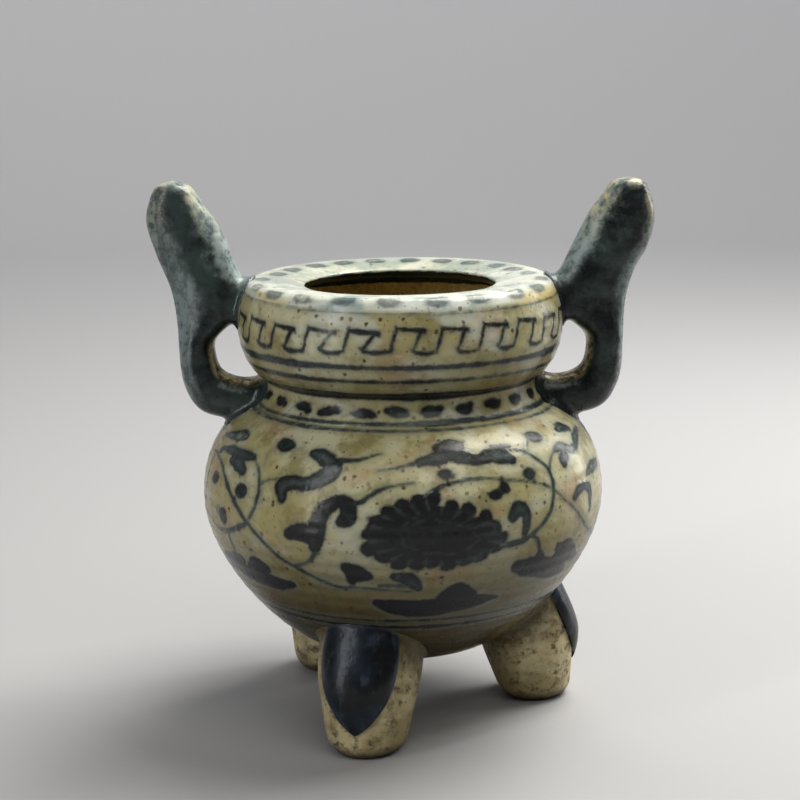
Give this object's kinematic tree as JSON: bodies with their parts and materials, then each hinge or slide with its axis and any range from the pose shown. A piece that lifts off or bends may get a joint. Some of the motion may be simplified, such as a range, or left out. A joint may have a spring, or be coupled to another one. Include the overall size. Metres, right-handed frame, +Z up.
{
  "type": "tripod incense burner",
  "caption": "Round bellied blue and white stoneware censer on feet with leaf pads, with a waisted neck, a dished mouth collar and upright ears.",
  "frame": {"origin": "centre of the ground plane under the bowl's axis", "axes": "+Z up along the bowl's axis, +X to the right ear, -Y to the front foot's side"},
  "size_m": [0.1366, 0.11, 0.1471],
  "materials": {
    "glazed_body": "buff grey glossy glaze over blue underglaze painting, with iron specks",
    "glazed_collar": "buff grey glossy glaze with painted key fret, dashes and dots; rust brown and bare inside",
    "dark_glaze": "thick glossy dark teal glaze that thins to pale grey green on the edges",
    "bare_foot": "thin buff glaze with brown stains, bare and dry at the sole",
    "blue_black_pad": "thick glossy blue black glaze"
  },
  "bodies": {
    "root": {"bowl": "glazed_body", "mouth_collar": "glazed_collar", "ear_right": "dark_glaze", "ear_left": "dark_glaze", "foot_front": "bare_foot", "leaf_pad_front": "blue_black_pad", "foot_right": "bare_foot", "leaf_pad_right": "blue_black_pad", "foot_left": "bare_foot", "leaf_pad_left": "blue_black_pad"}
  },
  "joints": []
}
